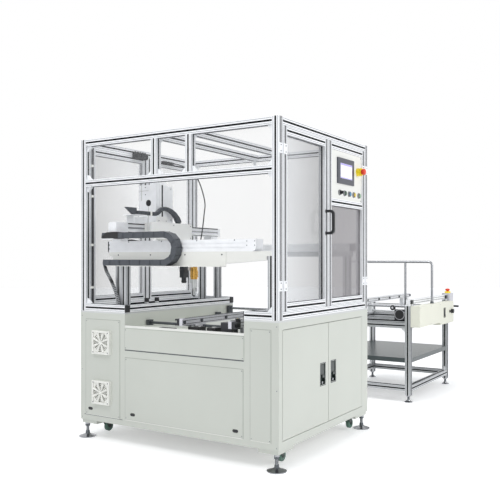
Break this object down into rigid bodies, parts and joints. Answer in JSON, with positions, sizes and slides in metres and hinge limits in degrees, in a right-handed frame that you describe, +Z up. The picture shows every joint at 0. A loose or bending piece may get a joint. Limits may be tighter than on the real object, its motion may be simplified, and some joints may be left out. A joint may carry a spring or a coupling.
{
  "type": "inline dispensing machine",
  "caption": "Inline dispensing machine: profile enclosure on a sheet-metal cabinet, three-axis gantry over a board conveyor, with a free-standing outfeed conveyor table",
  "frame": {"origin": "underside of the levelling foot at the near left corner, on the floor", "axes": "+X along the front doors from infeed to outfeed, +Y into the machine, +Z up"},
  "size_m": [3.04, 1.4239, 1.75],
  "materials": {
    "cabinet_paint": "pale grey-green powder coat",
    "white_paint": "white powder coat",
    "ivory_paint": "ivory powder coat",
    "shelf_grey": "grey coated sheet",
    "profile_aluminium": "satin anodised",
    "module_aluminium": "satin anodised",
    "steel": "plated",
    "plate_steel": "ground",
    "window_grey": "light grey clear panel",
    "black_plastic": "matte",
    "dark_grey_plastic": "matte",
    "white_plastic": "matte",
    "screen_plastic": "satin",
    "yellow_plastic": "satin",
    "red_plastic": "satin",
    "green_plastic": "satin",
    "blue_plastic": "satin",
    "amber_plastic": "satin",
    "lamp_green": "satin",
    "dark_green_metal": "semi-gloss",
    "tread": "matte",
    "hose_rubber": "matte",
    "brass": "turned",
    "motor_black": "satin black",
    "drive_grey": "matte"
  },
  "bodies": {
    "machine": {"cabinet_shell": "cabinet_paint", "service_panels": "cabinet_paint", "black_caps": "black_plastic", "work_plate": "plate_steel", "fan_grilles": "white_plastic", "levelling_feet": "steel", "drive_cabinet": "drive_grey", "enclosure_frame": "profile_aluminium", "enclosure_windows": "window_grey", "gantry_frame": "profile_aluminium", "y_axis_modules": "module_aluminium", "y_drag_chain": "dark_grey_plastic", "feed_hose": "hose_rubber", "conveyor_rail_fixed": "profile_aluminium", "drive_motors": "motor_black", "table_frame": "profile_aluminium", "table_shelf": "shelf_grey", "table_rail_fixed": "profile_aluminium", "table_control_box": "ivory_paint"},
    "fan_rotor": {"fan_rotor": "black_plastic"},
    "front_door_left": {"front_door_left": "profile_aluminium", "front_window_left": "window_grey", "door_handle": "black_plastic"},
    "front_door_right": {"front_door_right": "profile_aluminium", "front_window_right": "window_grey", "control_panel": "white_paint", "touch_screen": "screen_plastic", "operator_bezels": "yellow_plastic"},
    "estop_button": {"estop_button": "red_plastic"},
    "key_selector": {"key_selector": "black_plastic"},
    "button_green": {"button_green": "green_plastic"},
    "button_blue": {"button_blue": "blue_plastic"},
    "button_yellow": {"button_yellow": "amber_plastic"},
    "button_start": {"button_start": "lamp_green"},
    "cabinet_door_left": {"cabinet_door_left": "cabinet_paint"},
    "cabinet_door_right": {"cabinet_door_right": "cabinet_paint"},
    "latch_lever_left": {"latch_lever_left": "dark_green_metal"},
    "latch_lever_right": {"latch_lever_right": "dark_green_metal"},
    "gantry_beam": {"gantry_beam": "module_aluminium", "x_drag_chain": "dark_grey_plastic"},
    "x_carriage": {"x_carriage": "white_paint", "z_axis_module": "module_aluminium"},
    "z_slide": {"z_slide": "white_paint", "dispensing_valve": "brass"},
    "conveyor_rail_sliding": {"conveyor_rail_sliding": "profile_aluminium"},
    "conveyor_drive_shaft": {"conveyor_drive_shaft": "steel"},
    "table_rail_sliding": {"table_rail_sliding": "profile_aluminium"},
    "table_drive_shaft": {"table_drive_shaft": "steel"},
    "table_crank": {"table_crank": "motor_black"},
    "table_switch": {"table_switch": "black_plastic"},
    "table_knob": {"table_knob": "black_plastic"},
    "table_estop_button": {"table_estop_button": "red_plastic"},
    "caster_fork_1": {"caster_fork_1": "dark_green_metal"},
    "caster_wheel_1": {"caster_wheel_1": "tread"},
    "caster_fork_2": {"caster_fork_2": "dark_green_metal"},
    "caster_wheel_2": {"caster_wheel_2": "tread"},
    "caster_fork_3": {"caster_fork_3": "dark_green_metal"},
    "caster_wheel_3": {"caster_wheel_3": "tread"},
    "caster_fork_4": {"caster_fork_4": "dark_green_metal"},
    "caster_wheel_4": {"caster_wheel_4": "tread"}
  },
  "joints": [
    {"name": "fan_spin", "type": "hinge", "parent": "machine", "child": "fan_rotor", "pos_m": [-0.028, 1.149, 0.277], "axis": [1, 0, 0], "continuous": true},
    {"name": "front_door_left_hinge", "type": "hinge", "parent": "machine", "child": "front_door_left", "pos_m": [0.0135, -0.034, 1.25], "axis": [0, 0, -1], "range_deg": [0, 110]},
    {"name": "front_door_right_hinge", "type": "hinge", "parent": "machine", "child": "front_door_right", "pos_m": [1.0305, -0.034, 1.25], "axis": [0, 0, 1], "range_deg": [0, 110]},
    {"name": "estop_push", "type": "slide", "parent": "front_door_right", "child": "estop_button", "axis": [0, 1, 0], "range_m": [0, 0.004]},
    {"name": "key_turn", "type": "hinge", "parent": "front_door_right", "child": "key_selector", "pos_m": [0.67804, -0.028, 1.43], "axis": [0, 1, 0], "range_deg": [-45, 45]},
    {"name": "cabinet_door_left_hinge", "type": "hinge", "parent": "machine", "child": "cabinet_door_left", "pos_m": [0.015, -0.023, 0.42], "axis": [0, 0, -1], "range_deg": [0, 100]},
    {"name": "cabinet_door_right_hinge", "type": "hinge", "parent": "machine", "child": "cabinet_door_right", "pos_m": [0.979, -0.023, 0.42], "axis": [0, 0, 1], "range_deg": [0, 100]},
    {"name": "latch_left_lift", "type": "hinge", "parent": "cabinet_door_left", "child": "latch_lever_left", "pos_m": [0.453, -0.02, 0.469], "axis": [-1, 0, 0], "range_deg": [0, 35], "stiffness_Nm_per_rad": 0.3, "springref_deg": -11.46},
    {"name": "latch_right_lift", "type": "hinge", "parent": "cabinet_door_right", "child": "latch_lever_right", "pos_m": [0.585, -0.02, 0.469], "axis": [-1, 0, 0], "range_deg": [0, 35], "stiffness_Nm_per_rad": 0.3, "springref_deg": -11.46},
    {"name": "gantry_y_travel", "type": "slide", "parent": "machine", "child": "gantry_beam", "axis": [0, -1, 0], "range_m": [0, 0.7], "deforming": ["y_drag_chain", "feed_hose"]},
    {"name": "head_x_travel", "type": "slide", "parent": "gantry_beam", "child": "x_carriage", "axis": [1, 0, 0], "range_m": [0, 0.3], "deforming": ["x_drag_chain"]},
    {"name": "head_z_travel", "type": "slide", "parent": "x_carriage", "child": "z_slide", "axis": [0, 0, -1], "range_m": [0, 0.08]},
    {"name": "conveyor_width", "type": "slide", "parent": "machine", "child": "conveyor_rail_sliding", "axis": [0, 1, 0], "range_m": [-0.18, 0.3]},
    {"name": "conveyor_shaft_spin", "type": "hinge", "parent": "machine", "child": "conveyor_drive_shaft", "pos_m": [1.012, 0.256, 0.711], "axis": [0, 1, 0], "continuous": true},
    {"name": "table_crank_turn", "type": "hinge", "parent": "machine", "child": "table_crank", "pos_m": [2.905, 0.023, 0.65], "axis": [0, 1, 0], "range_deg": [-2702, 3602]},
    {"name": "table_width", "type": "slide", "parent": "machine", "child": "table_rail_sliding", "axis": [0, 1, 0], "range_m": [-0.15, 0.2]},
    {"name": "table_shaft_spin", "type": "hinge", "parent": "machine", "child": "table_drive_shaft", "pos_m": [1.994, 0.023, 0.697], "axis": [0, 1, 0], "continuous": true},
    {"name": "table_switch_rock", "type": "hinge", "parent": "machine", "child": "table_switch", "pos_m": [2.571, -0.047, 0.62], "axis": [1, 0, 0], "range_deg": [0, 12]},
    {"name": "table_knob_turn", "type": "hinge", "parent": "machine", "child": "table_knob", "pos_m": [2.76, -0.057, 0.622], "axis": [0, 1, 0], "range_deg": [0, 270]},
    {"name": "table_estop_push", "type": "slide", "parent": "machine", "child": "table_estop_button", "axis": [0, 0, -1], "range_m": [0, 0.004]},
    {"name": "button_green_push", "type": "slide", "parent": "front_door_right", "child": "button_green", "axis": [0, 1, 0], "range_m": [0, 0.003], "stiffness_N_per_m": 600},
    {"name": "button_blue_push", "type": "slide", "parent": "front_door_right", "child": "button_blue", "axis": [0, 1, 0], "range_m": [0, 0.003], "stiffness_N_per_m": 600},
    {"name": "button_yellow_push", "type": "slide", "parent": "front_door_right", "child": "button_yellow", "axis": [0, 1, 0], "range_m": [0, 0.003], "stiffness_N_per_m": 600},
    {"name": "button_start_push", "type": "slide", "parent": "front_door_right", "child": "button_start", "axis": [0, 1, 0], "range_m": [0, 0.003], "stiffness_N_per_m": 600},
    {"name": "caster_1_swivel", "type": "hinge", "parent": "machine", "child": "caster_fork_1", "pos_m": [0.102, 0.047, 0.082], "axis": [0, 0, 1], "continuous": true},
    {"name": "caster_1_roll", "type": "hinge", "parent": "caster_fork_1", "child": "caster_wheel_1", "pos_m": [0.127, 0.047, 0.042], "axis": [0, 1, 0], "continuous": true},
    {"name": "caster_2_swivel", "type": "hinge", "parent": "machine", "child": "caster_fork_2", "pos_m": [0.942, 0.047, 0.082], "axis": [0, 0, 1], "continuous": true},
    {"name": "caster_2_roll", "type": "hinge", "parent": "caster_fork_2", "child": "caster_wheel_2", "pos_m": [0.967, 0.047, 0.042], "axis": [0, 1, 0], "continuous": true},
    {"name": "caster_3_swivel", "type": "hinge", "parent": "machine", "child": "caster_fork_3", "pos_m": [0.102, 1.247, 0.082], "axis": [0, 0, 1], "continuous": true},
    {"name": "caster_3_roll", "type": "hinge", "parent": "caster_fork_3", "child": "caster_wheel_3", "pos_m": [0.127, 1.247, 0.042], "axis": [0, 1, 0], "continuous": true},
    {"name": "caster_4_swivel", "type": "hinge", "parent": "machine", "child": "caster_fork_4", "pos_m": [0.942, 1.247, 0.082], "axis": [0, 0, 1], "continuous": true},
    {"name": "caster_4_roll", "type": "hinge", "parent": "caster_fork_4", "child": "caster_wheel_4", "pos_m": [0.967, 1.247, 0.042], "axis": [0, 1, 0], "continuous": true}
  ],
  "couplings": [
    {"joint": "table_crank_turn", "follows": "table_width", "rad_per_m": 314.16}
  ]
}
